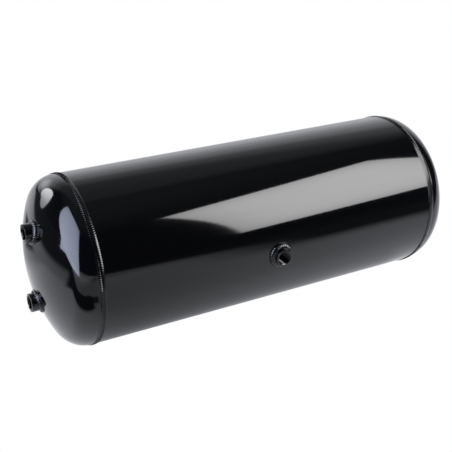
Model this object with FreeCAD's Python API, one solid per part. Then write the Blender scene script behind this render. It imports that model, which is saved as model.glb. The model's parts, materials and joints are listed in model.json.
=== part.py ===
"""Horizontal compressed-air reservoir of welded steel, lying on its side.

A rolled shell closed by a longitudinal weld, a dished end joggled into each of its rims and
held by a girth weld, two threaded ports on each end and one in the middle of the shell.

Frame, in millimetres: +X along the tank, +Y to the side away from the shell's port, +Z up.
The origin is on the floor under the middle of the tank, which rests on its girth welds. Every
piece is drawn with the tank's axis on X and its end ports one above the other; the whole tank
is then rolled a little about its axis and lifted onto the floor.
"""
import FreeCAD, Part

import math
import os

# ---- driving dimensions -------------------------------------------------------------------
TANK_DIAMETER = 276.0          # outside of the shell
SHELL_LENGTH = 612.0           # rolled plate, rim to rim
SHELL_WALL = 2.5
END_WALL = 3.0
ROLL = 2.5                     # degrees that the loose tank lies turned, its side port dipping

# Dished ends: a spherical crown, a knuckle and a short straight flange.
CROWN_RADIUS = 260.0           # outside
KNUCKLE_RADIUS = 41.0          # outside
END_FLANGE = 0.8               # straight part between the weld groove and the knuckle
SPIGOT_LENGTH = 16.0           # joggled rim inside the shell
SPIGOT_CLEARANCE = 0.2         # between the spigot and the inside of the shell
JOGGLE_ANGLE = 45.0            # degrees, of the ramp up to the full diameter

# Girth welds between the shell and the ends.
GROOVE_ROOT = 1.5              # flat bottom of the groove beside the shell's rim
GIRTH_WIDTH = 12.0
GIRTH_OVERLAP = 3.0            # how far the bead laps onto the shell
GIRTH_HEIGHT = 1.5
GIRTH_START = 45.0             # degrees round from the top, where each weld starts and ends

# Longitudinal weld of the shell, opposite its port, with a cap outside and a root inside.
SEAM_GAP = 1.6
SEAM_WIDTH = 9.0
SEAM_HEIGHT = 1.4
SEAM_ROOT_WIDTH = 5.0
SEAM_ROOT_HEIGHT = 0.8
SEAM_ROOT_CLEARANCE = 2.0      # between the root's ends and the spigots

# Threaded bosses, M22 x 1.5.
BOSS_DIAMETER = 30.0
BOSS_LENGTH = 24.0
BOSS_EDGE = 0.8                # chamfer round the outer face
BOSS_CLEARANCE = 0.2           # between a boss and the hole cut for it
THREAD_DIAMETER = 22.0
THREAD_PITCH = 1.5
MOUTH_DIAMETER = 24.0          # of the bore, at the outer face
MOUTH_DEPTH = 1.5
END_PORT_OFFSET = 61.0         # from the tank's axis, above and below it
END_PORT_STANDOFF = 14.0       # face of the boss above the crown, on its own axis
SIDE_PORT_STANDOFF = 12.0
SIDE_PORT_SHIFT = -4.0         # along the tank, from the middle of the shell

# Fillet welds round the bosses: the radius of the bead, centred on its root.
END_FILLET = 5.2
SIDE_FILLET = 7.0

# ---- values that follow from them ---------------------------------------------------------
RADIUS = TANK_DIAMETER / 2
INNER_RADIUS = RADIUS - SHELL_WALL
SPIGOT_RADIUS = INNER_RADIUS - SPIGOT_CLEARANCE
RIM = SHELL_LENGTH / 2
AXIS_HEIGHT = RADIUS + GIRTH_HEIGHT
RAMP_FOOT = RIM + GROOVE_ROOT
RAMP_TOP = RAMP_FOOT + (RADIUS - SPIGOT_RADIUS) / math.tan(math.radians(JOGGLE_ANGLE))
TANGENT = RAMP_TOP + END_FLANGE
KNUCKLE_HEIGHT = RADIUS - KNUCKLE_RADIUS
CROWN_SLOPE = math.asin(KNUCKLE_HEIGHT / (CROWN_RADIUS - KNUCKLE_RADIUS))
CROWN_CENTRE = TANGENT - (CROWN_RADIUS - KNUCKLE_RADIUS) * math.cos(CROWN_SLOPE)
BOSS_RADIUS = BOSS_DIAMETER / 2
THREAD_DEPTH_PER_PITCH = 1.0825                     # on the diameter of a metric thread
CORE_RADIUS = (THREAD_DIAMETER - THREAD_DEPTH_PER_PITCH * THREAD_PITCH) / 2
PORT_SLOPE = math.asin(END_PORT_OFFSET / CROWN_RADIUS)
PORT_SURFACE = CROWN_CENTRE + CROWN_RADIUS * math.cos(PORT_SLOPE)

ORIGIN = FreeCAD.Vector(0, 0, 0)
X_AXIS = FreeCAD.Vector(1, 0, 0)
Z_AXIS = FreeCAD.Vector(0, 0, 1)
TO_SIDE_PORT = FreeCAD.Vector(0, -1, 0)
SIDE_PORT_AXIS = FreeCAD.Vector(SIDE_PORT_SHIFT, 0, 0)
THROUGH = 10.0                 # how far a cutting tool runs past what it cuts

END_SIDES = {"left": -1, "right": 1}
END_LEVELS = {"upper": 1, "lower": -1}


# ---- helpers ------------------------------------------------------------------------------
def line(start, end):
    return Part.LineSegment(FreeCAD.Vector(*start), FreeCAD.Vector(*end)).toShape()


def arc(start, middle, end):
    return Part.Arc(FreeCAD.Vector(*start), FreeCAD.Vector(*middle), FreeCAD.Vector(*end)).toShape()


def chain(points):
    """Straight edges from point to point."""
    return [line(start, end) for start, end in zip(points, points[1:])]


def turned(edges):
    """The solid that a closed outline in the XZ plane sweeps round the X axis."""
    return Part.Face(Part.Wire(edges)).revolve(ORIGIN, X_AXIS, 360.0)


def aimed(shape, place, direction):
    """A shape drawn along +X from the origin, moved to a place and turned to a direction."""
    moved = shape.copy()
    moved.Placement = FreeCAD.Placement(place, FreeCAD.Rotation(X_AXIS, direction))
    return moved


def on_side(shape, side):
    """A shape of the right-hand end, or its mirror image on the left."""
    return shape if side > 0 else shape.mirror(ORIGIN, X_AXIS)


# ---- shell --------------------------------------------------------------------------------
def seam_point(radius, half_width):
    """A point of the longitudinal seam, in the plane across the tank."""
    return (0, math.sqrt(radius**2 - half_width**2), half_width)


def shell():
    """Rolled plate with an open seam, and the hole for the side port's boss."""
    gap = SEAM_GAP / 2
    edges = [
        arc(seam_point(RADIUS, gap), (0, -RADIUS, 0), seam_point(RADIUS, -gap)),
        line(seam_point(RADIUS, -gap), seam_point(INNER_RADIUS, -gap)),
        arc(seam_point(INNER_RADIUS, -gap), (0, -INNER_RADIUS, 0), seam_point(INNER_RADIUS, gap)),
        line(seam_point(INNER_RADIUS, gap), seam_point(RADIUS, gap)),
    ]
    plate = Part.Face(Part.Wire(edges)).extrude(X_AXIS * SHELL_LENGTH)
    plate.translate(X_AXIS * -RIM)
    start = SIDE_PORT_AXIS + TO_SIDE_PORT * THROUGH
    hole = Part.makeCylinder(BOSS_RADIUS + BOSS_CLEARANCE, RADIUS, start, TO_SIDE_PORT)
    return plate.cut(hole)


def seam_bead(radius, width, height, half_length):
    """A low rounded bead on the inner or outer face of the seam; a height below 0 is inwards."""
    foot = width / 2
    edges = [
        arc(seam_point(radius, foot), (0, radius + height, 0), seam_point(radius, -foot)),
        arc(seam_point(radius, -foot), (0, radius, 0), seam_point(radius, foot)),
    ]
    bead = Part.Face(Part.Wire(edges)).extrude(X_AXIS * 2 * half_length)
    bead.translate(X_AXIS * -half_length)
    return bead


def shell_seam_weld():
    """Fills the plate's seam, with a cap between the girth welds and a root between the ends."""
    gap = SEAM_GAP / 2
    filler_edges = [
        arc(seam_point(RADIUS, gap), (0, RADIUS, 0), seam_point(RADIUS, -gap)),
        line(seam_point(RADIUS, -gap), seam_point(INNER_RADIUS, -gap)),
        arc(seam_point(INNER_RADIUS, -gap), (0, INNER_RADIUS, 0), seam_point(INNER_RADIUS, gap)),
        line(seam_point(INNER_RADIUS, gap), seam_point(RADIUS, gap)),
    ]
    filler = Part.Face(Part.Wire(filler_edges)).extrude(X_AXIS * SHELL_LENGTH)
    filler.translate(X_AXIS * -RIM)
    cap = seam_bead(RADIUS, SEAM_WIDTH, SEAM_HEIGHT, RIM - GIRTH_OVERLAP)
    root_end = RIM - SPIGOT_LENGTH - SEAM_ROOT_CLEARANCE
    root = seam_bead(INNER_RADIUS, SEAM_ROOT_WIDTH, -SEAM_ROOT_HEIGHT, root_end)
    return filler.fuse([cap, root])


# ---- dished ends --------------------------------------------------------------------------
def end_body(inset):
    """The right-hand end as a filled body, its outline set in by a wall from the outside."""
    crown = CROWN_RADIUS - inset
    knuckle = KNUCKLE_RADIUS - inset
    half_slope = CROWN_SLOPE / 2
    bend = (CROWN_SLOPE + math.pi / 2) / 2
    pole = (CROWN_CENTRE + crown, 0, 0)
    crown_middle = (CROWN_CENTRE + crown * math.cos(half_slope), 0, crown * math.sin(half_slope))
    joint = (CROWN_CENTRE + crown * math.cos(CROWN_SLOPE), 0, crown * math.sin(CROWN_SLOPE))
    knuckle_middle = (TANGENT + knuckle * math.cos(bend), 0,
                      KNUCKLE_HEIGHT + knuckle * math.sin(bend))
    rim = (TANGENT, 0, RADIUS - inset)
    ramp_shift = inset * math.tan(math.radians(JOGGLE_ANGLE) / 2)
    spigot = SPIGOT_RADIUS - inset
    spigot_end = RIM - SPIGOT_LENGTH - (THROUGH if inset else 0)
    edges = [arc(pole, crown_middle, joint), arc(joint, knuckle_middle, rim)] + chain([
        rim,
        (RAMP_TOP + ramp_shift, 0, RADIUS - inset),
        (RAMP_FOOT + ramp_shift, 0, spigot),
        (spigot_end, 0, spigot),
        (spigot_end, 0, 0),
        pole,
    ])
    return turned(edges)


def dished_end(side):
    """Pressed end with a joggled rim, and the holes for its two bosses."""
    end = end_body(0).cut(end_body(END_WALL))
    for level in END_LEVELS.values():
        centre = FreeCAD.Vector(RIM, 0, level * END_PORT_OFFSET)
        end = end.cut(Part.makeCylinder(BOSS_RADIUS + BOSS_CLEARANCE, RADIUS, centre, X_AXIS))
    return on_side(end, side)


def girth_weld(side):
    """Fills the groove between the shell's rim and the joggle, and crowns over both."""
    start = RIM - GIRTH_OVERLAP
    end = start + GIRTH_WIDTH
    middle = (start + end) / 2
    edges = [arc((start, 0, RADIUS), (middle, 0, RADIUS + GIRTH_HEIGHT), (end, 0, RADIUS))]
    edges += chain([
        (end, 0, RADIUS),
        (end, 0, SPIGOT_RADIUS),
        (RIM, 0, SPIGOT_RADIUS),
        (RIM, 0, RADIUS),
        (start, 0, RADIUS),
    ])
    weld = turned(edges).cut(end_body(0))
    weld.rotate(ORIGIN, X_AXIS, GIRTH_START)
    return on_side(weld, side)


# ---- ports --------------------------------------------------------------------------------
def boss():
    """Threaded boss along +X, its outer face at the origin; the bore is at the thread's core."""
    core = CORE_RADIUS
    mouth = MOUTH_DIAMETER / 2
    return turned(chain([
        (0, 0, mouth),
        (0, 0, BOSS_RADIUS - BOSS_EDGE),
        (-BOSS_EDGE, 0, BOSS_RADIUS),
        (-BOSS_LENGTH, 0, BOSS_RADIUS),
        (-BOSS_LENGTH, 0, core),
        (-MOUTH_DEPTH, 0, core),
        (0, 0, mouth),
    ]))


def fillet_weld(size, root, normal, boss_direction, plate):
    """Round bead centred on the root between a boss and the plate, cut to fit both."""
    bead = Part.makeTorus(BOSS_RADIUS, size, root, normal)
    start = root - boss_direction * BOSS_LENGTH
    core = Part.makeCylinder(BOSS_RADIUS, 2 * BOSS_LENGTH, start, boss_direction)
    return bead.cut(core).cut(plate)


def end_port_boss(side, level):
    face = FreeCAD.Vector(PORT_SURFACE + END_PORT_STANDOFF, 0, level * END_PORT_OFFSET)
    return on_side(aimed(boss(), face, X_AXIS), side)


def end_port_weld(side, level):
    """The bead lies square to the crown, which slopes where the boss goes through it."""
    normal = FreeCAD.Vector(math.cos(PORT_SLOPE), 0, level * math.sin(PORT_SLOPE))
    drop = CROWN_RADIUS - math.sqrt(CROWN_RADIUS**2 - BOSS_RADIUS**2)
    root = FreeCAD.Vector(CROWN_CENTRE, 0, 0) + normal * (CROWN_RADIUS - drop)
    return on_side(fillet_weld(END_FILLET, root, normal, X_AXIS, end_body(0)), side)


def side_port_boss():
    face = SIDE_PORT_AXIS + TO_SIDE_PORT * (RADIUS + SIDE_PORT_STANDOFF)
    return aimed(boss(), face, TO_SIDE_PORT)


def side_port_weld():
    """The root line is a saddle on the shell; the bead is centred half-way down it."""
    drop = RADIUS - math.sqrt(RADIUS**2 - BOSS_RADIUS**2)
    root = SIDE_PORT_AXIS + TO_SIDE_PORT * (RADIUS - drop / 2)
    plate = Part.makeCylinder(RADIUS, SHELL_LENGTH, X_AXIS * -RIM, X_AXIS)
    return fillet_weld(SIDE_FILLET, root, TO_SIDE_PORT, TO_SIDE_PORT, plate)


# ---- the whole tank -----------------------------------------------------------------------
def all_nodes():
    nodes = {
        "shell": shell(),
        "shell_seam_weld": shell_seam_weld(),
        "side_port_boss": side_port_boss(),
        "side_port_weld": side_port_weld(),
    }
    for side_name, side in END_SIDES.items():
        nodes[f"{side_name}_end"] = dished_end(side)
        nodes[f"{side_name}_girth_weld"] = girth_weld(side)
        for level_name, level in END_LEVELS.items():
            port = f"{side_name}_{level_name}_port"
            nodes[f"{port}_boss"] = end_port_boss(side, level)
            nodes[f"{port}_weld"] = end_port_weld(side, level)
    return nodes


def main():
    os.makedirs("parts", exist_ok=True)
    for name, shape in all_nodes().items():
        shape.rotate(ORIGIN, X_AXIS, ROLL)
        shape.translate(Z_AXIS * AXIS_HEIGHT)
        if not shape.isValid() or len(shape.Solids) != 1:
            raise RuntimeError(f"{name}: valid {shape.isValid()}, solids {len(shape.Solids)}")
        shape.Solids[0].exportStep(f"parts/{name}.step")
        print(f"{name}: {shape.Volume / 1000:.2f} cm3")


main()
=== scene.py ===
"""Gloss black compressed-air reservoir: smooth painted steel, rippled welds and threaded ports."""
import json
import math

import bmesh
import bpy
from mathutils import Euler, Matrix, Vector


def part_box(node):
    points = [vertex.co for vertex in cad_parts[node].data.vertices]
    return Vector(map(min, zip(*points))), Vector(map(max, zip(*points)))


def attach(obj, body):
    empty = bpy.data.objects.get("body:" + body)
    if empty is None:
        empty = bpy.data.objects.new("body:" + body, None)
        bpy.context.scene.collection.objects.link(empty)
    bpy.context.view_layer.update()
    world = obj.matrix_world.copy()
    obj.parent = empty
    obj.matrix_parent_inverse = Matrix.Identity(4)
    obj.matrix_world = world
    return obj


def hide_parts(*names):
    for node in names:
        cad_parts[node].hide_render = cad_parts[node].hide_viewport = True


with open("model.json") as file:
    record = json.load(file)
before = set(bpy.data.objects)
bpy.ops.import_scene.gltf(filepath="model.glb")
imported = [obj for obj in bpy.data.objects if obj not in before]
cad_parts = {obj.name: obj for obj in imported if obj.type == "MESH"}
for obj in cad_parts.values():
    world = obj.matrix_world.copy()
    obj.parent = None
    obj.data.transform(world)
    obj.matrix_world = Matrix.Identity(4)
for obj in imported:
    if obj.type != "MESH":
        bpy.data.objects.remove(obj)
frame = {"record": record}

bl_info = {
    "name": "Air Reservoir Maker",
    "version": (1, 0, 0),
    "blender": (4, 5, 0),
    "location": "View3D > Sidebar > Reservoir",
    "description": "Makes a welded compressed-air reservoir with dished ends and threaded ports",
    "category": "Add Mesh",
}


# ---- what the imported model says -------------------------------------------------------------
RECORD = frame["record"]
MOUNTS = {mount["name"]: mount for mount in RECORD["mounts"]}
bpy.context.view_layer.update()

RADIUS = MOUNTS["left_strap_seat"]["dims"]["r_mm"] / 1000
AXIS_HEIGHT = MOUNTS["left_strap_seat"]["pos_m"][2]
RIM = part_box("shell")[1].x
GIRTH_FROM, GIRTH_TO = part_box("right_girth_weld")[0].x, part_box("right_girth_weld")[1].x
GIRTH_HEIGHT = AXIS_HEIGHT - RADIUS
END_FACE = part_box("right_upper_port_boss")[1].x
END_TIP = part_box("right_end")[1].x
CORE_RADIUS = MOUNTS["side_port"]["dims"]["r_mm"] / 1000
SIDE_AXIS = Vector(MOUNTS["side_port"]["axis"])
SIDE_X = MOUNTS["side_port"]["pos_m"][0]
UPPER_PORT = Vector(MOUNTS["left_upper_port"]["pos_m"])
PORT_OFFSET = math.hypot(UPPER_PORT.y, UPPER_PORT.z - AXIS_HEIGHT)
ROLL = math.atan2(-SIDE_AXIS.z, -SIDE_AXIS.y)

# ---- shop dimensions of the steel, in metres ------------------------------------------------
SHELL_WALL = 0.0025
END_WALL = 0.003
CROWN_RADIUS = 0.260
KNUCKLE_RADIUS = 0.041
SPIGOT_LENGTH = 0.016
SPIGOT_CLEARANCE = 0.0002
GROOVE_ROOT = 0.0015
END_FLANGE = 0.0008
BOSS_RADIUS = 0.015
BOSS_LENGTH = 0.024
BOSS_EDGE = 0.0008
MOUTH_RADIUS = 0.012
THREAD_RADIUS = 0.011
THREAD_PITCH = 0.0015
SIDE_STANDOFF = 0.012
END_FILLET = 0.0052
SIDE_FILLET = 0.0070

SPIGOT_RADIUS = RADIUS - SHELL_WALL - SPIGOT_CLEARANCE
RAMP_FOOT = RIM + GROOVE_ROOT
RAMP_TOP = RAMP_FOOT + RADIUS - SPIGOT_RADIUS
TANGENT = RAMP_TOP + END_FLANGE
KNUCKLE_HEIGHT = RADIUS - KNUCKLE_RADIUS
CROWN_SLOPE = math.asin(KNUCKLE_HEIGHT / (CROWN_RADIUS - KNUCKLE_RADIUS))
CROWN_CENTRE = TANGENT - (CROWN_RADIUS - KNUCKLE_RADIUS) * math.cos(CROWN_SLOPE)
PORT_SLOPE = math.asin(PORT_OFFSET / CROWN_RADIUS)

# ---- dimensions of the modelled beads and threads, in metres --------------------------------
GIRTH_MARGIN = 0.0002              # a girth bead's crown stays this far below its full height
BEAD_MARGIN = 0.00003              # the same for the seam's bead and the ports' beads
BEAD_SINK = 0.0002                 # a long bead's edges lie this far inside the plate
GROOVE_GAP = 0.0001                # a girth bead's root stays this far off the groove's sides
SEAM_FOOT = 0.0045                 # half the width of the seam's bead
SEAM_HEIGHT = 0.0014
SEAM_ROOT = 0.0006                 # depth of the strip below its edges
SEAM_PLAIN_END = 0.004             # the seam's ends aren't rippled
SEAM_RIPPLED = 0.75                # the ripples' reach, as a share of half the width
PORT_BEAD_NECK = 0.0007            # a port's bead runs this far inside the boss's skin
PORT_BEAD_SUNK = 0.0016            # and this far below the plate
THREAD_MARGIN = 0.00003            # the bore is this much wider than the thread
THREAD_START = 0.0017              # from a boss's face to its first crest

# how deep each row of a ripple lies between two crests, as a share of the ripple's depth
LONG_RIPPLE = (0, 0.3, 0.8, 1.0, 0.6)
PORT_RIPPLE = (0, 0.2, 0.6, 1.0, 0.9, 0.4)
PORT_RIPPLE_DEPTH = 1.5            # a port bead's ripples are this much deeper
SEAM_CURL = 0.3                    # the seam's ripples curl by this share of the girth's

# how a bead's surface wanders: share of the unevenness and grain in metres, layer by layer
GIRTH_WANDER = ((1.0, 0.03), (0.7, 0.005))
SEAM_WANDER = ((1.0, 0.03), (1.2, 0.004))
PORT_WANDER = ((2.5, 0.009), (1.2, 0.003))

# ---- fineness of the meshes -----------------------------------------------------------------
ROUND_STEPS = 288                  # facets round the shell and the ends
BOSS_STEPS = 128
BORE_STEPS = 96
THREAD_STEPS = 48                  # steps in one turn of thread
ARC_STEPS = 28                     # points along the crown, and as many along the knuckle
SEAM_COLUMNS = 10                  # columns across the seam's bead
DOT = 0.0001                       # a triangle this small is merged into an outline's first point
SNAP = 1e-5                        # how close a point must lie to count as on a line
MERGE = 2e-6                       # points closer than this become one
BORE_MERGE = 1e-5                  # the same after a hole is cut

SMOOTH_BELOW = 35.0                # edges flatter than this many degrees are shaded smooth
WELD_SMOOTH_BELOW = 60.0


# ---- settings shown in the sidebar ----------------------------------------------------------
class ReservoirSizes(bpy.types.PropertyGroup):
    """Sizes of the weld ripples and the threads"""
    ripple_pitch: bpy.props.FloatProperty(
        name="Ripple pitch", description="Spacing of the ripples along a weld",
        default=0.0034, min=0.001, max=0.01, precision=4, unit="LENGTH")
    ripple_depth: bpy.props.FloatProperty(
        name="Ripple depth", description="How deep the valleys between ripples are",
        default=0.00022, min=0.0, max=0.001, precision=5, unit="LENGTH")
    girth_curl: bpy.props.FloatProperty(
        name="Girth ripple curl",
        description="How far the middle of a ripple runs ahead of its ends",
        default=0.0026, min=0.0, max=0.01, precision=4, unit="LENGTH")
    unevenness: bpy.props.FloatProperty(
        name="Unevenness", description="How far a weld's surface wanders",
        default=0.00022, min=0.0, max=0.001, precision=5, unit="LENGTH")
    thread_turns: bpy.props.IntProperty(
        name="Thread turns", description="Turns of thread in each port", default=14, min=1, max=15)


class EnamelLook(bpy.types.PropertyGroup):
    """Colours and texture of the enamel"""
    paint_colour: bpy.props.FloatVectorProperty(
        name="Enamel", description="Colour of the gloss enamel", subtype="COLOR",
        size=3, min=0.0, max=1.0, default=(0.0004, 0.0005, 0.0009))
    dust_colour: bpy.props.FloatVectorProperty(
        name="Dust", description="Colour of the thin dust on upward faces", subtype="COLOR",
        size=3, min=0.0, max=1.0, default=(0.090, 0.088, 0.084))
    paint_roughness: bpy.props.FloatProperty(
        name="Enamel roughness", description="Roughness of clean enamel",
        default=0.055, min=0.0, max=1.0, subtype="FACTOR")
    peel_depth: bpy.props.FloatProperty(
        name="Orange peel", description="Depth of the fine texture of sprayed paint",
        default=0.000006, min=0.0, max=0.001, precision=6, unit="LENGTH")


class StudioLook(bpy.types.PropertyGroup):
    """Light and camera of the stage"""
    floor_brightness: bpy.props.FloatProperty(
        name="Floor", description="Brightness of the pale floor", default=1.0, min=0.0, max=5.0)
    main_power: bpy.props.FloatProperty(
        name="Right softbox", description="Power of the large softbox at the front right",
        default=13.0, min=0.0, unit="POWER")
    side_power: bpy.props.FloatProperty(
        name="Left softbox", description="Power of the softbox beside the left end",
        default=4.7, min=0.0, unit="POWER")
    lamp_power: bpy.props.FloatProperty(
        name="Back lamp", description="Power of the lamp behind the left end",
        default=5.4, min=0.0, unit="POWER")
    lens: bpy.props.FloatProperty(
        name="Lens", description="Focal length of the camera", default=68.52, min=10.0,
        unit="CAMERA")


# ---- helpers for modelling ------------------------------------------------------------------
def clear_selection():
    """Back to object mode with nothing selected."""
    if bpy.context.object and bpy.context.object.mode != "OBJECT":
        bpy.ops.object.mode_set(mode="OBJECT")
    bpy.ops.object.select_all(action="DESELECT")


def work_on(piece):
    """Makes one piece the only selected and active object."""
    clear_selection()
    piece.select_set(True)
    bpy.context.view_layer.objects.active = piece
    return piece


def edit(piece):
    """Opens one piece in edit mode, on its points."""
    work_on(piece)
    bpy.ops.object.mode_set(mode="EDIT")
    bpy.ops.mesh.select_mode(type="VERT")


def pick(test):
    """Selects, in edit mode, the points whose place passes a test."""
    piece = bpy.context.object
    bpy.ops.mesh.select_all(action="DESELECT")
    mesh = bmesh.from_edit_mesh(piece.data)
    for point in mesh.verts:
        if test(piece.matrix_world @ point.co):
            point.select = True
    mesh.select_flush(True)
    bmesh.update_edit_mesh(piece.data)


def pull_outline(name, points):
    """Puts down one point and pulls it from place to place; the piece is left in edit mode."""
    clear_selection()
    bpy.ops.mesh.primitive_circle_add(vertices=3, radius=DOT, location=points[0])
    piece = bpy.context.object
    piece.name = name
    edit(piece)
    bpy.ops.mesh.select_all(action="SELECT")
    bpy.ops.mesh.merge(type="CENTER")
    for start, end in zip(points, points[1:]):
        step = Vector(end) - Vector(start)
        bpy.ops.mesh.extrude_region_move(TRANSFORM_OT_translate={"value": step})
    return piece


def close_up(threshold=MERGE):
    """Merges what meets and turns every face outwards."""
    bpy.ops.mesh.select_all(action="SELECT")
    bpy.ops.mesh.remove_doubles(threshold=threshold)
    bpy.ops.mesh.normals_make_consistent(inside=False)


def spin_outline(name, points, steps):
    """Turns an outline in the XZ plane into a closed body round the X axis."""
    piece = pull_outline(name, points)
    bpy.ops.mesh.select_all(action="SELECT")
    bpy.ops.mesh.spin(steps=steps, angle=math.tau, center=(0, 0, 0), axis=(1, 0, 0))
    close_up()
    bpy.ops.object.mode_set(mode="OBJECT")
    fix_place(piece)
    return piece


def fix_place(piece):
    """Moves a piece's place, turn and size into its mesh."""
    work_on(piece)
    bpy.ops.object.transform_apply(location=True, rotation=True, scale=True)


def seat(piece, place, turn=(0, 0, 0)):
    """Turns a piece about the origin by X, Y and Z degrees and moves it to its place."""
    piece.rotation_euler = Euler([math.radians(angle) for angle in turn])
    piece.location = place
    fix_place(piece)


def copy_of(piece, name):
    """A copy with a mesh of its own."""
    work_on(piece)
    bpy.ops.object.duplicate()
    twin = bpy.context.object
    twin.name = name
    return twin


def arc_points(centre, radius, start, end, count):
    """Points on an arc in the XZ plane, from one angle to another in degrees above +X."""
    angles = [math.radians(start + (end - start) * i / count) for i in range(count + 1)]
    return [(centre[0] + radius * math.cos(a), 0, centre[1] + radius * math.sin(a))
            for a in angles]


def cut_with_rod(piece, place, direction, radius, length):
    """Bores a round hole through a piece with a Boolean modifier."""
    clear_selection()
    bpy.ops.mesh.primitive_cylinder_add(vertices=BORE_STEPS, radius=radius, depth=length,
                                        location=place, rotation=direction)
    rod = bpy.context.object
    work_on(piece)
    cut = piece.modifiers.new("bore", "BOOLEAN")
    cut.operation = "DIFFERENCE"
    cut.solver = "EXACT"
    cut.object = rod
    bpy.ops.object.modifier_apply(modifier=cut.name)
    bpy.data.objects.remove(rod)
    edit(piece)
    bpy.ops.mesh.select_all(action="SELECT")
    bpy.ops.mesh.dissolve_degenerate(threshold=BORE_MERGE)
    close_up(BORE_MERGE)
    bpy.ops.object.mode_set(mode="OBJECT")


def wander(piece, unevenness, layers):
    """Lets a weld's surface wander inwards, never out past its full height."""
    work_on(piece)
    for share, grain in layers:
        noise = bpy.data.textures.new("wander", "CLOUDS")
        noise.noise_scale = grain
        noise.noise_depth = 2
        shift = piece.modifiers.new("wander", "DISPLACE")
        shift.texture = noise
        shift.texture_coords = "LOCAL"
        shift.mid_level = 1.0
        shift.strength = share * unevenness
        bpy.ops.object.modifier_apply(modifier=shift.name)


def finish_piece(piece, node, finish, angle=SMOOTH_BELOW):
    """Rolls and lifts a piece into the tank's resting place, and ties it to the model."""
    piece.rotation_euler = (ROLL, 0, 0)
    piece.location = (0, 0, AXIS_HEIGHT)
    fix_place(piece)
    bpy.ops.object.shade_smooth_by_angle(angle=math.radians(angle))
    piece.data.materials.clear()
    piece.data.materials.append(finishes()[finish])
    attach(piece, "root")
    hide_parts(node)


# ---- node groups and materials --------------------------------------------------------------
def node_group(name, inputs, outputs):
    """A shader group with named sockets; each is (name, kind, default)."""
    group = bpy.data.node_groups.new(name, "ShaderNodeTree")
    for label, kind, default in inputs:
        socket = group.interface.new_socket(label, in_out="INPUT", socket_type=kind)
        if default is not None:
            socket.default_value = default
    for label, kind in outputs:
        group.interface.new_socket(label, in_out="OUTPUT", socket_type=kind)
    entry = group.nodes.new("NodeGroupInput")
    leave = group.nodes.new("NodeGroupOutput")
    return group, entry, leave


def add_node(tree, kind, settings=None, **values):
    """A node with its settings, and values for its inputs by name."""
    node = tree.nodes.new(kind)
    for key, value in (settings or {}).items():
        setattr(node, key, value)
    for key, value in values.items():
        node.inputs[key.replace("_", " ")].default_value = value
    return node


def maths(tree, operation, first, second=0.0):
    """A Math node fed by sockets or plain numbers."""
    node = tree.nodes.new("ShaderNodeMath")
    node.operation = operation
    for socket, value in zip(node.inputs, (first, second)):
        if isinstance(value, (int, float)):
            socket.default_value = value
        else:
            tree.links.new(value, socket)
    return node.outputs[0]


def relief_group():
    """Height of sprayed enamel: fine orange peel over the slow waves of the plate."""
    group, entry, leave = node_group(
        "enamel_relief",
        [("Place", "NodeSocketVector", None), ("Peel scale", "NodeSocketFloat", 420.0),
         ("Peel depth", "NodeSocketFloat", 0.000006), ("Wave scale", "NodeSocketFloat", 9.0),
         ("Wave depth", "NodeSocketFloat", 0.00005)],
        [("Height", "NodeSocketFloat")])
    heights = []
    for kind, detail in (("Peel", 2.0), ("Wave", 1.0)):
        noise = add_node(group, "ShaderNodeTexNoise", Detail=detail)
        group.links.new(entry.outputs["Place"], noise.inputs["Vector"])
        group.links.new(entry.outputs[kind + " scale"], noise.inputs["Scale"])
        heights.append(maths(group, "MULTIPLY", noise.outputs["Fac"],
                             entry.outputs[kind + " depth"]))
    group.links.new(maths(group, "ADD", *heights), leave.inputs["Height"])
    return group


def dust_group():
    """Thin dust that settles on upward faces in soft patches."""
    group, entry, leave = node_group(
        "settled_dust",
        [("Place", "NodeSocketVector", None), ("Clean", "NodeSocketColor", (0, 0, 0, 1)),
         ("Dust", "NodeSocketColor", (0.09, 0.088, 0.084, 1)),
         ("Amount", "NodeSocketFloat", 0.01), ("Roughness", "NodeSocketFloat", 0.06),
         ("Patch scale", "NodeSocketFloat", 14.0)],
        [("Colour", "NodeSocketColor"), ("Roughness", "NodeSocketFloat")])
    facing = add_node(group, "ShaderNodeNewGeometry")
    split = add_node(group, "ShaderNodeSeparateXYZ")
    group.links.new(facing.outputs["Normal"], split.inputs[0])
    upward = maths(group, "MAXIMUM", split.outputs["Z"], 0.0)
    patches = add_node(group, "ShaderNodeTexNoise", Detail=5.0)
    group.links.new(entry.outputs["Place"], patches.inputs["Vector"])
    group.links.new(entry.outputs["Patch scale"], patches.inputs["Scale"])
    specks = add_node(group, "ShaderNodeTexNoise", Scale=900.0, Detail=1.0)
    group.links.new(entry.outputs["Place"], specks.inputs["Vector"])
    rarity, speck_cover = 0.735, 6.0            # few specks, each well covered
    speck = maths(group, "MULTIPLY",
                  maths(group, "GREATER_THAN", specks.outputs["Fac"], rarity), speck_cover)
    cover = maths(group, "MULTIPLY", upward,
                  maths(group, "ADD", maths(group, "POWER", patches.outputs["Fac"], 2.0), speck))
    mask = maths(group, "MINIMUM", maths(group, "MULTIPLY", cover, entry.outputs["Amount"]), 1.0)
    blend = add_node(group, "ShaderNodeMix", {"data_type": "RGBA"})
    group.links.new(mask, blend.inputs["Factor"])
    group.links.new(entry.outputs["Clean"], blend.inputs["A"])
    group.links.new(entry.outputs["Dust"], blend.inputs["B"])
    group.links.new(blend.outputs["Result"], leave.inputs["Colour"])
    film_rough, dust_rough = 0.02, 0.3
    film = maths(group, "MULTIPLY", patches.outputs["Fac"], film_rough)
    rough = maths(group, "ADD", maths(group, "ADD", entry.outputs["Roughness"], film),
                  maths(group, "MULTIPLY", mask, dust_rough))
    group.links.new(rough, leave.inputs["Roughness"])
    return group


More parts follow.
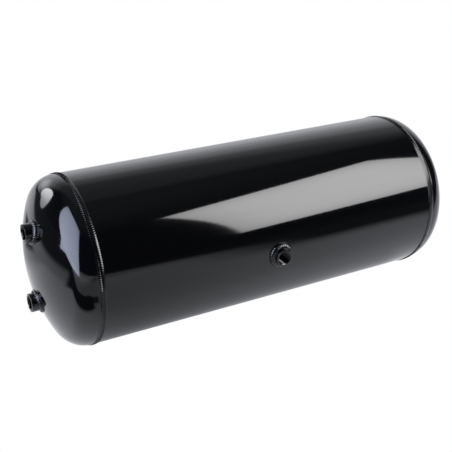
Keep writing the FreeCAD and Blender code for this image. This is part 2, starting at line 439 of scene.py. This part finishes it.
def smooth_step(tree, value, low, high, to_low=0.0, to_high=1.0):
    """A soft change of a value between two places."""
    node = add_node(tree, "ShaderNodeMapRange",
                    {"interpolation_type": "SMOOTHSTEP", "clamp": True},
                    From_Min=low, From_Max=high, To_Min=to_low, To_Max=to_high)
    tree.links.new(value, node.inputs["Value"])
    return node.outputs[0]


def soft_patch(tree, level, across, along, centre, turn, half, soft, value):
    """Lays a soft-edged, turned rectangle of another value over a level."""
    cos, sin = math.cos(math.radians(turn)), math.sin(math.radians(turn))
    right = maths(tree, "SUBTRACT", across, centre[0])
    up = maths(tree, "SUBTRACT", along, centre[1])
    masks = []
    for a, b, reach in ((cos, sin, half[0]), (-sin, cos, half[1])):
        away = maths(tree, "ABSOLUTE", maths(tree, "ADD", maths(tree, "MULTIPLY", right, a),
                                             maths(tree, "MULTIPLY", up, b)))
        masks.append(smooth_step(tree, away, reach, reach + soft, 1.0, 0.0))
    mask = maths(tree, "MULTIPLY", *masks)
    change = maths(tree, "MULTIPLY", maths(tree, "SUBTRACT", value, level), mask)
    return maths(tree, "ADD", level, change)


def scuff(tree, place, height):
    """A faint long scuff in the paint on the front of the shell, right of the side port."""
    split = add_node(tree, "ShaderNodeSeparateXYZ")
    tree.links.new(place, split.inputs[0])
    dent = soft_patch(tree, 0.0, split.outputs["X"], split.outputs["Z"],
                      centre=(0.222, AXIS_HEIGHT - 0.0052), turn=-12, half=(0.014, 0.0004),
                      soft=0.0035, value=-0.00005)
    front = smooth_step(tree, split.outputs["Y"], -0.02, 0.0, 1.0, 0.0)
    return maths(tree, "ADD", height, maths(tree, "MULTIPLY", dent, front))


def enamel(name, relief, dust, look, wave_scale, wave_depth, amount, peel=1.0, rough=0.0,
           scuffed=False):
    """Gloss enamel with its relief and dust; the shader itself holds the fixed values."""
    material = bpy.data.materials.new(name)
    material.use_nodes = True
    tree = material.node_tree
    shader = tree.nodes["Principled BSDF"]
    shader.inputs["IOR"].default_value = 1.5
    shader.inputs["Metallic"].default_value = 0.0
    place = add_node(tree, "ShaderNodeTexCoord").outputs["Object"]
    film = add_node(tree, "ShaderNodeGroup", {"node_tree": dust}, Amount=amount,
                    Clean=(*look.paint_colour, 1), Dust=(*look.dust_colour, 1),
                    Roughness=look.paint_roughness + rough)
    skin = add_node(tree, "ShaderNodeGroup", {"node_tree": relief},
                    Peel_depth=look.peel_depth * peel, Wave_depth=wave_depth,
                    Wave_scale=wave_scale)
    bump = add_node(tree, "ShaderNodeBump", Strength=1.0, Distance=1.0)
    tree.links.new(place, film.inputs["Place"])
    tree.links.new(place, skin.inputs["Place"])
    height = skin.outputs["Height"]
    tree.links.new(scuff(tree, place, height) if scuffed else height, bump.inputs["Height"])
    tree.links.new(bump.outputs["Normal"], shader.inputs["Normal"])
    tree.links.new(film.outputs["Colour"], shader.inputs["Base Color"])
    tree.links.new(film.outputs["Roughness"], shader.inputs["Roughness"])
    return material


FINISHES = {
    "shell_enamel": {"wave_scale": 7.0, "wave_depth": 0.00006, "amount": 0.003, "scuffed": True},
    "end_enamel": {"wave_scale": 16.0, "wave_depth": 0.000015, "amount": 0.003},
    "weld_enamel": {"peel": 2.0, "wave_scale": 240.0, "wave_depth": 0.00009, "amount": 0.010,
                    "rough": 0.04},
    "boss_enamel": {"peel": 1.5, "wave_scale": 60.0, "wave_depth": 0.00003, "amount": 0.010,
                    "rough": 0.03},
}


def finishes():
    """The four painted finishes, made once."""
    made = {name: bpy.data.materials.get(name) for name in FINISHES}
    if not all(made.values()):
        look = bpy.context.scene.reservoir_look
        relief, dust = relief_group(), dust_group()
        made = {name: enamel(name, relief, dust, look, **values)
                for name, values in FINISHES.items()}
    return made


# ---- the pieces -----------------------------------------------------------------------------
class RESERVOIR_OT_shell(bpy.types.Operator):
    """Rolled shell: a ring pulled along the tank, given its wall and the hole for the side port"""
    bl_idname = "reservoir.shell"
    bl_label = "Make shell"

    NEAR_REACH = 0.030             # close rings run this far either side of the port
    NEAR_STEP = 0.003
    FAR_RINGS = (0.1, 0.2)         # the other rings, either side of mid-length
    ROD_LENGTH = 0.05              # of the rod that bores the side port's hole

    def execute(self, context):
        count = round(2 * self.NEAR_REACH / self.NEAR_STEP) + 1
        near = [SIDE_X - self.NEAR_REACH + self.NEAR_STEP * i for i in range(count)]
        stops = [-RIM, *(-x for x in self.FAR_RINGS[::-1]), *near, *self.FAR_RINGS, RIM]
        clear_selection()
        bpy.ops.mesh.primitive_circle_add(vertices=ROUND_STEPS, radius=RADIUS,
                                          location=(-RIM, 0, 0), rotation=(0, math.pi / 2, 0))
        piece = bpy.context.object
        piece.name = "tank_shell"
        edit(piece)
        bpy.ops.mesh.select_all(action="SELECT")
        for start, end in zip(stops, stops[1:]):
            bpy.ops.mesh.extrude_region_move(TRANSFORM_OT_translate={"value": (end - start, 0, 0)})
        close_up()
        bpy.ops.object.mode_set(mode="OBJECT")
        fix_place(piece)
        wall = piece.modifiers.new("wall", "SOLIDIFY")
        wall.thickness = SHELL_WALL
        wall.offset = -1.0
        bpy.ops.object.modifier_apply(modifier=wall.name)
        cut_with_rod(piece, (SIDE_X, -RADIUS, 0), (math.pi / 2, 0, 0), BOSS_RADIUS,
                     self.ROD_LENGTH)
        finish_piece(piece, "shell", "shell_enamel")
        return {"FINISHED"}


class RESERVOIR_OT_ends(bpy.types.Operator):
    """Dished ends: crown, knuckle and joggled rim spun round the axis, with two bored holes"""
    bl_idname = "reservoir.ends"
    bl_label = "Make dished ends"

    RAMP_ANGLE = 45                # degrees, from the end's rim down to the joggle
    ROD_LENGTH = 0.08              # of the rods that bore the ports' holes

    @classmethod
    def face(cls, inset):
        """One face of the plate, from the pole to the rim, set in by a thickness."""
        slope = math.degrees(CROWN_SLOPE)
        crown = arc_points((CROWN_CENTRE, 0), CROWN_RADIUS - inset, 0, slope, ARC_STEPS)
        knuckle = arc_points((TANGENT, KNUCKLE_HEIGHT), KNUCKLE_RADIUS - inset, slope, 90,
                             ARC_STEPS)
        shift = inset * math.tan(math.radians(cls.RAMP_ANGLE / 2))
        rim = [(RAMP_TOP + shift, 0, RADIUS - inset),
               (RAMP_FOOT + shift, 0, SPIGOT_RADIUS - inset),
               (RIM - SPIGOT_LENGTH, 0, SPIGOT_RADIUS - inset)]
        return crown + knuckle[1:] + rim

    def execute(self, context):
        outline = self.face(0.0) + self.face(END_WALL)[::-1]
        right = spin_outline("right_dished_end", outline, ROUND_STEPS)
        for level in (1, -1):
            cut_with_rod(right, (END_TIP, 0, level * PORT_OFFSET), (0, math.pi / 2, 0),
                         BOSS_RADIUS, self.ROD_LENGTH)
        left = copy_of(right, "left_dished_end")
        seat(left, (0, 0, 0), (0, 0, 180))
        for piece, node in ((right, "right_end"), (left, "left_end")):
            finish_piece(piece, node, "end_enamel")
        return {"FINISHED"}


def ripple_ring(ripple, depth, steps, test):
    """Draws in the rows between crests of a ring round the X axis, ripple by ripple."""
    turn = math.tau / steps
    for row, share in enumerate(ripple):
        def in_row(place):
            count = round(math.atan2(place.y, place.z) / turn)
            return count % len(ripple) == row and test(place)
        if share:
            pick(in_row)
            bpy.ops.transform.shrink_fatten(value=-share * depth)


class RESERVOIR_OT_girth_welds(bpy.types.Operator):
    """Girth welds: a groove filled with a low bead, rippled in curved scales right round"""
    bl_idname = "reservoir.girth_welds"
    bl_label = "Make girth welds"

    LEFT_TURN = 57                 # degrees, so that the two beads' ripples differ

    def execute(self, context):
        sizes = context.scene.reservoir_sizes
        steps = len(LONG_RIPPLE) * round(math.tau * RADIUS / sizes.ripple_pitch)
        middle = (GIRTH_FROM + GIRTH_TO) / 2
        foot = (GIRTH_TO - GIRTH_FROM) / 2
        crown = GIRTH_HEIGHT - GIRTH_MARGIN
        columns = [middle + foot * math.sin(math.radians(15 * i)) for i in range(-6, 7)]
        top = [(x, 0, RADIUS - BEAD_SINK
                + (crown + BEAD_SINK) * (1 - ((x - middle) / foot) ** 2)) for x in columns]
        # the groove's sides, from the end's ramp down to the root and up the shell's rim
        root, wall = SPIGOT_RADIUS + GROOVE_GAP, RIM + GROOVE_GAP
        under = [(RAMP_TOP, 0, RADIUS - 0.0004), (RAMP_FOOT, 0, root), (wall, 0, root),
                 (wall, 0, RADIUS - 0.0003), top[0]]
        right = spin_outline("right_girth_bead", top + under, steps)
        edit(right)
        inner = columns[2:-2]

        def crowned(place):
            return (inner[0] - SNAP < place.x < inner[-1] + SNAP
                    and math.hypot(place.y, place.z) > RADIUS)
        ripple_ring(LONG_RIPPLE, sizes.ripple_depth, steps, crowned)
        for x in columns[1:-1]:
            ahead = sizes.girth_curl * (1 - ((x - middle) / foot) ** 2) / RADIUS
            pick(lambda place: abs(place.x - x) < SNAP and crowned(place))
            bpy.ops.transform.rotate(value=ahead, orient_axis="X", center_override=(0, 0, 0))
        bpy.ops.object.mode_set(mode="OBJECT")
        wander(right, sizes.unevenness, GIRTH_WANDER)
        left = copy_of(right, "left_girth_bead")
        seat(left, (0, 0, 0), (self.LEFT_TURN, 0, 180))
        for piece, node in ((right, "right_girth_weld"), (left, "left_girth_weld")):
            finish_piece(piece, node, "weld_enamel", WELD_SMOOTH_BELOW)
        return {"FINISHED"}


class RESERVOIR_OT_seam_weld(bpy.types.Operator):
    """Longitudinal weld: a rippled strip down the back of the shell, with its root inside"""
    bl_idname = "reservoir.seam_weld"
    bl_label = "Make seam weld"

    def execute(self, context):
        sizes = context.scene.reservoir_sizes
        half, crown = GIRTH_FROM, SEAM_HEIGHT - BEAD_MARGIN
        along = len(LONG_RIPPLE) * round(2 * half / sizes.ripple_pitch)
        clear_selection()
        bpy.ops.mesh.primitive_grid_add(
            x_subdivisions=along, y_subdivisions=SEAM_COLUMNS, size=1.0,
            location=(0, RADIUS, 0), rotation=(-math.pi / 2, 0, 0))
        piece = bpy.context.object
        piece.name = "seam_bead"
        piece.scale = (2 * half, 2 * SEAM_FOOT, 1)
        fix_place(piece)
        edit(piece)
        for column in range(SEAM_COLUMNS + 1):
            z = SEAM_FOOT * (2 * column / SEAM_COLUMNS - 1)
            sunk = math.sqrt(RADIUS ** 2 - z ** 2) - RADIUS - BEAD_SINK
            lift = sunk + (crown + BEAD_SINK) * (1 - (z / SEAM_FOOT) ** 2)
            pick(lambda place: abs(place.z - z) < SNAP and abs(place.x) < half - SNAP)
            bpy.ops.transform.translate(value=(self.ahead(z, sizes), lift, 0))
            pick(lambda place: abs(place.z - z) < SNAP and abs(place.x) > half - SNAP)
            bpy.ops.transform.translate(value=(0, sunk, 0))
        self.lower_rows(2 * half / along, half, sizes)
        bpy.ops.mesh.select_all(action="SELECT")
        bpy.ops.mesh.extrude_region_move(TRANSFORM_OT_translate={"value": (0, -SEAM_ROOT, 0)})
        close_up()
        bpy.ops.object.mode_set(mode="OBJECT")
        wander(piece, sizes.unevenness, SEAM_WANDER)
        finish_piece(piece, "shell_seam_weld", "weld_enamel", WELD_SMOOTH_BELOW)
        return {"FINISHED"}

    @staticmethod
    def ahead(z, sizes):
        """How far a ripple runs ahead at a height across the bead."""
        return SEAM_CURL * sizes.girth_curl * (1 - (z / SEAM_FOOT) ** 2)

    @classmethod
    def lower_rows(cls, pitch, half, sizes):
        """Lowers the rows between crests, away from the bead's feet and ends."""
        for row, share in enumerate(LONG_RIPPLE):
            def in_row(place):
                count = round((place.x + half - cls.ahead(place.z, sizes)) / pitch)
                return (count % len(LONG_RIPPLE) == row
                        and abs(place.z) < SEAM_RIPPLED * SEAM_FOOT
                        and abs(place.x) < half - SEAM_PLAIN_END)
            if share:
                pick(in_row)
                bpy.ops.transform.translate(value=(0, -share * sizes.ripple_depth, 0))


class RESERVOIR_OT_bosses(bpy.types.Operator):
    """Port bosses: a turned sleeve with a real helical thread, copied to all five ports"""
    bl_idname = "reservoir.bosses"
    bl_label = "Make port bosses"

    @staticmethod
    def sleeve():
        """The turned body, its face at the origin and its length along +X."""
        bore = THREAD_RADIUS + THREAD_MARGIN
        outline = [
            (0, 0, MOUTH_RADIUS), (0, 0, BOSS_RADIUS - BOSS_EDGE),
            (0.3 * BOSS_EDGE, 0, BOSS_RADIUS - 0.25 * BOSS_EDGE), (BOSS_EDGE, 0, BOSS_RADIUS),
            (0.4 * BOSS_LENGTH, 0, BOSS_RADIUS), (BOSS_LENGTH, 0, BOSS_RADIUS),
            (BOSS_LENGTH, 0, bore), (0.4 * BOSS_LENGTH, 0, bore),
            (MOUTH_RADIUS - bore, 0, bore), (0, 0, MOUTH_RADIUS)]
        return spin_outline("boss", outline, BOSS_STEPS)

    @staticmethod
    def thread(turns):
        """One closed helical ridge, swept by a Screw modifier and capped at both ends."""
        crest, root = THREAD_PITCH / 8, THREAD_PITCH * 7 / 16
        foot = THREAD_RADIUS + 2 * THREAD_MARGIN
        outline = [(THREAD_START - root, 0, foot), (THREAD_START - crest, 0, CORE_RADIUS),
                   (THREAD_START + crest, 0, CORE_RADIUS), (THREAD_START + root, 0, foot)]
        ridge = pull_outline("thread", outline + outline[:1])
        close_up()
        bpy.ops.object.mode_set(mode="OBJECT")
        fix_place(ridge)
        sweep = ridge.modifiers.new("helix", "SCREW")
        sweep.axis = "X"
        sweep.screw_offset = THREAD_PITCH
        sweep.steps = sweep.render_steps = THREAD_STEPS
        sweep.iterations = turns
        bpy.ops.object.modifier_apply(modifier=sweep.name)
        edit(ridge)
        bpy.ops.mesh.select_all(action="SELECT")
        bpy.ops.mesh.fill_holes(sides=0)
        close_up()
        bpy.ops.object.mode_set(mode="OBJECT")
        return ridge

    def execute(self, context):
        boss = self.sleeve()
        ridge = self.thread(context.scene.reservoir_sizes.thread_turns)
        clear_selection()
        ridge.select_set(True)
        boss.select_set(True)
        context.view_layer.objects.active = boss
        bpy.ops.object.join()
        side_face = RADIUS + SIDE_STANDOFF
        places = {
            "side_port": ((SIDE_X, -side_face, 0), (0, 0, 90)),
            "left_upper_port": ((-END_FACE, 0, PORT_OFFSET), (0, 0, 0)),
            "left_lower_port": ((-END_FACE, 0, -PORT_OFFSET), (75, 0, 0)),
            "right_upper_port": ((END_FACE, 0, PORT_OFFSET), (140, 0, 180)),
            "right_lower_port": ((END_FACE, 0, -PORT_OFFSET), (205, 0, 180)),
        }
        for port, (place, turn) in places.items():
            piece = copy_of(boss, port + "_sleeve")
            seat(piece, place, turn)
            finish_piece(piece, port + "_boss", "boss_enamel")
        bpy.data.objects.remove(boss)
        return {"FINISHED"}


class RESERVOIR_OT_port_welds(bpy.types.Operator):
    """Fillet welds round the bosses: a fat rippled bead on the plate, lapping up the sleeve"""
    bl_idname = "reservoir.port_welds"
    bl_label = "Make port welds"

    COPY_TURN = 65                 # degrees between the copies, so that their ripples differ

    @staticmethod
    def bead(name, size, sizes):
        """A rippled ring round the X axis, the plate at x = 0 and the sleeve standing to -X."""
        round_the_bead = math.tau * (BOSS_RADIUS + 0.7 * size)
        steps = len(PORT_RIPPLE) * round(round_the_bead / sizes.ripple_pitch)
        neck, reach = BOSS_RADIUS - PORT_BEAD_NECK, size - BEAD_MARGIN
        # a quarter round from the sleeve down to the plate, and a little past both
        arc = [(-reach * math.sin(a), 0, BOSS_RADIUS + reach * math.cos(a))
               for a in map(math.radians, range(92, -13, -8))]
        corner = (PORT_BEAD_SUNK, 0, neck)
        outline = [corner, (arc[0][0], 0, neck), *arc,
                   (PORT_BEAD_SUNK, 0, arc[-1][2] - 0.0004), corner]
        piece = spin_outline(name, outline, steps)
        edit(piece)
        plain_foot = 0.12 * size

        def crowned(place):
            out = math.hypot(place.y, place.z) - BOSS_RADIUS
            return place.x < -plain_foot and out > plain_foot
        ripple_ring(PORT_RIPPLE, PORT_RIPPLE_DEPTH * sizes.ripple_depth, steps, crowned)
        bpy.ops.object.mode_set(mode="OBJECT")
        wander(piece, sizes.unevenness, PORT_WANDER)
        return piece

    def execute(self, context):
        sizes = context.scene.reservoir_sizes
        drop = RADIUS - math.sqrt(RADIUS ** 2 - BOSS_RADIUS ** 2)
        side = self.bead("side_port_bead", SIDE_FILLET, sizes)
        seat(side, (SIDE_X, -(RADIUS - drop / 2), 0), (0, 0, 90))
        finish_piece(side, "side_port_weld", "weld_enamel", WELD_SMOOTH_BELOW)
        end = self.bead("end_bead", END_FILLET, sizes)
        sink = CROWN_RADIUS - math.sqrt(CROWN_RADIUS ** 2 - BOSS_RADIUS ** 2)
        reach = CROWN_CENTRE + (CROWN_RADIUS - sink) * math.cos(PORT_SLOPE)
        rise = (CROWN_RADIUS - sink) * math.sin(PORT_SLOPE)
        slope = math.degrees(PORT_SLOPE)
        places = {
            "left_upper_port": ((-reach, 0, rise), (0, slope, 0)),
            "left_lower_port": ((-reach, 0, -rise), (0, -slope, 0)),
            "right_upper_port": ((reach, 0, rise), (0, slope, 180)),
            "right_lower_port": ((reach, 0, -rise), (0, -slope, 180)),
        }
        for number, (port, (place, turn)) in enumerate(places.items()):
            piece = copy_of(end, port + "_bead")
            seat(piece, (0, 0, 0), (self.COPY_TURN * number, 0, 0))
            seat(piece, place, turn)
            finish_piece(piece, port + "_weld", "weld_enamel", WELD_SMOOTH_BELOW)
        bpy.data.objects.remove(end)
        return {"FINISHED"}


# ---- studio ---------------------------------------------------------------------------------
WHITE = (1, 1, 1, 1)


def as_seen(tree, glow, level, plain, tint):
    """Plain white for the camera, and the shaded, tinted light that the paint mirrors."""
    seen = add_node(tree, "ShaderNodeLightPath").outputs["Is Camera Ray"]
    strength = add_node(tree, "ShaderNodeMix", {"data_type": "FLOAT"}, B=plain)
    tree.links.new(seen, strength.inputs["Factor"])
    tree.links.new(level, strength.inputs["A"])
    tree.links.new(strength.outputs["Result"], glow.inputs["Strength"])
    colour = add_node(tree, "ShaderNodeMix", {"data_type": "RGBA"}, A=(*tint, 1), B=WHITE)
    tree.links.new(seen, colour.inputs["Factor"])
    tree.links.new(colour.outputs["Result"], glow.inputs["Color"])


class RESERVOIR_OT_stage(bpy.types.Operator):
    """Pale floor and backdrop, two softboxes, a lamp, a black card and the camera"""
    bl_idname = "reservoir.stage"
    bl_label = "Set the stage"

    # painted shade and painted light laid on the floor, seen only in the paint's reflections:
    # centre, turn in degrees, half length and width, softness in metres, brightness
    PAINTED_FLOOR_SHADING = (
        ((-15.05, 15.0), 0, (14.0, 15.0), 0.26, 0.06),
        ((-0.20, 1.80), 0, (0.50, 0.90), 0.40, 0.90),
        ((-0.50, 0.03), 0, (0.14, 0.20), 0.14, 0.97),
        ((-0.52, 0.60), 0, (0.06, 0.14), 0.08, 0.13),
        ((-0.42, -0.345), -11, (0.10, 0.032), 0.035, 0.09),
        ((-0.585, -0.185), -38, (0.22, 0.072), 0.035, 0.05),
        ((-1.05, -0.020), -8, (0.36, 0.085), 0.050, 0.05),
    )
    # the backdrop's half brightness by the sine of the height above the horizon
    HORIZON, ZENITH = 0.45, 0.10
    SWEEP = ((0.17, 0.56), (0.34, 0.54), (0.50, 0.45), (0.64, 0.24), (0.77, 0.12))

    def execute(self, context):
        studio = context.scene.reservoir_studio
        context.scene.view_settings.view_transform = "Standard"
        self.floor(studio)
        self.world(context.scene)
        self.softbox("right_softbox", place=(0.506, -0.5601, 0.6218),
                     turn=(65.684, -0.902, 30.013), size=(0.652, 0.656),
                     power=studio.main_power, colour=(1.0, 1.0, 1.0), fall=(0.0, 0.0, 0.30))
        self.softbox("left_softbox", place=(-0.6219, -0.1359, 0.4306),
                     turn=(73.605, 6.086, -90.977), size=(0.400, 0.604),
                     power=studio.side_power, colour=(0.85, 0.94, 1.21),
                     fall=(-0.16, -0.32, 0.25))
        lamp, target = Vector((-1.025, 1.100, 0.605)), Vector((-0.34, -0.02, 0.265))
        aim = (target - lamp).to_track_quat("-Z", "Y").to_euler()
        self.softbox("back_lamp", place=lamp, turn=[math.degrees(angle) for angle in aim],
                     size=(0.46, 0.88), power=studio.lamp_power, colour=(0.98, 1.0, 1.02),
                     fall=(0.0, 1.3, 0.25), shape="ELLIPSE")
        self.flag()
        self.camera(context.scene, studio)
        return {"FINISHED"}

    @staticmethod
    def flag():
        """A black card over the tank that keeps the right softbox's glare off the shell's top.

        It is one-way, so the front of the tank still mirrors the backdrop behind it.
        """
        clear_selection()
        bpy.ops.mesh.primitive_plane_add(size=1.0, location=(0.36, -0.042, 0.784),
                                         rotation=(math.pi / 2, 0, 0))
        card = bpy.context.object
        card.name = "flag"
        card.scale = (1.28, 1.02, 1.0)
        fix_place(card)
        material = bpy.data.materials.new("one_way_card")
        material.use_nodes = True
        tree = material.node_tree
        tree.nodes.remove(tree.nodes["Principled BSDF"])
        side = add_node(tree, "ShaderNodeNewGeometry").outputs["Backfacing"]
        choice = add_node(tree, "ShaderNodeMixShader")
        tree.links.new(side, choice.inputs[0])
        tree.links.new(add_node(tree, "ShaderNodeBsdfTransparent").outputs[0], choice.inputs[1])
        tree.links.new(add_node(tree, "ShaderNodeEmission", Strength=0.0).outputs[0],
                       choice.inputs[2])
        tree.links.new(choice.outputs[0], tree.nodes["Material Output"].inputs["Surface"])
        card.data.materials.append(material)
        card.visible_camera = False

    def floor(self, studio):
        """A wide pale floor, even to the eye and shaded as the paint sees it."""
        clear_selection()
        bpy.ops.mesh.primitive_plane_add(size=60.0, location=(0, 0, 0))
        floor = bpy.context.object
        floor.name = "floor"
        material = bpy.data.materials.new("pale_floor")
        material.use_nodes = True
        tree = material.node_tree
        tree.nodes.remove(tree.nodes["Principled BSDF"])
        glow = add_node(tree, "ShaderNodeEmission")
        place = add_node(tree, "ShaderNodeTexCoord").outputs["Object"]
        split = add_node(tree, "ShaderNodeSeparateXYZ")
        tree.links.new(place, split.inputs[0])
        x, y = split.outputs["X"], split.outputs["Y"]
        ahead = maths(tree, "MULTIPLY", y, -1.0)
        # brighter to the far left, and under the right-hand softbox
        level = maths(tree, "ADD", smooth_step(tree, x, -0.45, 0.10, 0.60, 0.80),
                      smooth_step(tree, x, -1.5, -0.6, 0.65, 0.0))
        under_box = maths(tree, "MULTIPLY", smooth_step(tree, x, -0.20, 0.45, 0.0, 0.34),
                          smooth_step(tree, ahead, 0.28, 0.60, 1.0, 0.0))
        under_box = maths(tree, "MULTIPLY", under_box, smooth_step(tree, ahead, -0.35, -0.05))
        level = maths(tree, "ADD", level, under_box)
        # dimmer far in front of the tank
        level = maths(tree, "MULTIPLY", level, smooth_step(tree, ahead, 0.95, 2.2, 1.0, 0.66))
        # the white floor ends along a slanting line at the front right
        slant, darkening = 0.24, 0.90
        edge = maths(tree, "ADD", x, maths(tree, "MULTIPLY", y, slant))
        beyond = maths(tree, "MULTIPLY", smooth_step(tree, edge, -0.10, 0.26),
                       smooth_step(tree, ahead, 0.34, 0.58))
        left_over = maths(tree, "SUBTRACT", 1.0, maths(tree, "MULTIPLY", beyond, darkening))
        level = maths(tree, "MULTIPLY", level, left_over)
        # painted shade and painted light on the floor, for the paint to mirror
        for patch in self.PAINTED_FLOOR_SHADING:
            level = soft_patch(tree, level, x, y, *patch)
        # contact shade under the tank
        near = maths(tree, "MULTIPLY",
                     smooth_step(tree, maths(tree, "ABSOLUTE", y), 0.05, 0.18, 0.42, 0.0),
                     smooth_step(tree, maths(tree, "ABSOLUTE", x), 0.27, 0.34, 1.0, 0.0))
        level = maths(tree, "MULTIPLY", level, maths(tree, "SUBTRACT", 1.0, near))
        # the tank's own shadow on the floor behind it
        level = soft_patch(tree, level, x, y, centre=(0.0, 0.17), turn=0, half=(0.27, 0.13),
                           soft=0.05, value=0.16)
        as_seen(tree, glow, level, studio.floor_brightness, (0.97, 0.99, 1.055))
        tree.links.new(glow.outputs[0], tree.nodes["Material Output"].inputs["Surface"])
        floor.data.materials.append(material)

    @classmethod
    def world(cls, scene):
        """White sweep behind the tank, dark room in front and overhead."""
        world = bpy.data.worlds.new("studio")
        scene.world = world
        world.use_nodes = True
        tree = world.node_tree
        sky = tree.nodes["Background"]
        way = add_node(tree, "ShaderNodeTexCoord").outputs["Generated"]
        split = add_node(tree, "ShaderNodeSeparateXYZ")
        tree.links.new(way, split.inputs[0])
        height = add_node(tree, "ShaderNodeValToRGB")
        ramp = height.color_ramp
        ramp.interpolation = "EASE"
        for stop, value in zip(ramp.elements, (cls.HORIZON, cls.ZENITH)):
            stop.color = (value, value, value, 1)
        for where, value in cls.SWEEP:
            stop = ramp.elements.new(where)
            stop.color = (value, value, value, 1)
        tree.links.new(split.outputs["Z"], height.inputs["Fac"])
        bearing = maths(tree, "ARCTAN2", split.outputs["X"], split.outputs["Y"])
        left = smooth_step(tree, bearing, math.radians(-30), math.radians(-12))
        right = smooth_step(tree, bearing, math.radians(58), math.radians(90), 1.0, 0.0)
        sweep = maths(tree, "MULTIPLY", left, right)
        bright = maths(tree, "MULTIPLY",
                       maths(tree, "MULTIPLY", height.outputs["Color"], 2.0), sweep)
        dim = smooth_step(tree, split.outputs["Z"], 0.70, 0.97, 0.04, 0.13)
        level = maths(tree, "MAXIMUM", bright, dim)
        # the sweep's brightest part, low down at the back left
        level = soft_patch(tree, level, bearing, split.outputs["Z"], centre=(-0.20, 0.26),
                           turn=0, half=(0.06, 0.03), soft=0.20, value=2.1)
        as_seen(tree, sky, level, 1.0, (0.975, 1.0, 1.05))

    @staticmethod
    def softbox(name, place, turn, size, power, colour, fall, shape="RECTANGLE"):
        """An area lamp that dims across, upwards and towards its edges by the parts in fall."""
        clear_selection()
        bpy.ops.object.light_add(type="AREA", location=place,
                                 rotation=[math.radians(angle) for angle in turn])
        light = bpy.context.object
        light.name = name
        light.data.shape = shape
        light.data.size, light.data.size_y = size
        light.data.energy = power
        light.data.color = colour
        light.visible_camera = False
        light.data.use_nodes = True
        tree = light.data.node_tree
        split = add_node(tree, "ShaderNodeSeparateXYZ")
        place = add_node(tree, "ShaderNodeNewGeometry").outputs["Parametric"]
        tree.links.new(place, split.inputs[0])
        *slopes, edge_fall = fall
        level, edges = 1.0, 1.0
        for axis, slope in zip("XY", slopes):
            off = maths(tree, "SUBTRACT", split.outputs[axis], 0.5)
            level = maths(tree, "ADD", level, maths(tree, "MULTIPLY", off, slope))
            out = maths(tree, "MULTIPLY", maths(tree, "ABSOLUTE", off), 2.0)
            loss = maths(tree, "MULTIPLY", maths(tree, "POWER", out, 4.0), edge_fall)
            edges = maths(tree, "MULTIPLY", edges, maths(tree, "SUBTRACT", 1.0, loss))
        strength = maths(tree, "MULTIPLY", level, edges)
        tree.links.new(strength, tree.nodes["Emission"].inputs["Strength"])

    @staticmethod
    def camera(scene, studio):
        """The view from the front left, a little above the tank."""
        clear_selection()
        bpy.ops.object.camera_add(
            location=(-0.68827, -1.1842, 0.74422),
            rotation=[math.radians(angle) for angle in (65.8321, -0.0247, -29.1008)])
        camera = bpy.context.object
        camera.data.sensor_width = 36.0
        camera.data.lens = studio.lens
        camera.data.clip_start, camera.data.clip_end = 0.01, 200.0
        scene.camera = camera


# ---- sidebar and registration ---------------------------------------------------------------
MAKERS = (RESERVOIR_OT_shell, RESERVOIR_OT_ends, RESERVOIR_OT_girth_welds,
          RESERVOIR_OT_seam_weld, RESERVOIR_OT_bosses, RESERVOIR_OT_port_welds,
          RESERVOIR_OT_stage)


class RESERVOIR_PT_panel(bpy.types.Panel):
    """Lists the settings and the makers"""
    bl_idname = "RESERVOIR_PT_panel"
    bl_label = "Air Reservoir"
    bl_space_type = "VIEW_3D"
    bl_region_type = "UI"
    bl_category = "Reservoir"

    def draw(self, context):
        for group in (context.scene.reservoir_sizes, context.scene.reservoir_look,
                      context.scene.reservoir_studio):
            box = self.layout.box()
            for name in group.__annotations__:
                box.prop(group, name)
        for maker in MAKERS:
            self.layout.operator(maker.bl_idname)


SETTINGS = {"reservoir_sizes": ReservoirSizes, "reservoir_look": EnamelLook,
            "reservoir_studio": StudioLook}


def register():
    """Adds the settings, the makers and the panel."""
    for group in (*SETTINGS.values(), *MAKERS, RESERVOIR_PT_panel):
        bpy.utils.register_class(group)
    for name, group in SETTINGS.items():
        setattr(bpy.types.Scene, name, bpy.props.PointerProperty(type=group))


def unregister():
    """Takes them away again."""
    for name in SETTINGS:
        delattr(bpy.types.Scene, name)
    for group in (RESERVOIR_PT_panel, *reversed(MAKERS), *reversed(SETTINGS.values())):
        bpy.utils.unregister_class(group)


def main():
    """Makes every piece and the stage."""
    register()
    bpy.ops.reservoir.shell()
    bpy.ops.reservoir.ends()
    bpy.ops.reservoir.girth_welds()
    bpy.ops.reservoir.seam_weld()
    bpy.ops.reservoir.bosses()
    bpy.ops.reservoir.port_welds()
    bpy.ops.reservoir.stage()
    clear_selection()


if __name__ == "__main__":
    main()
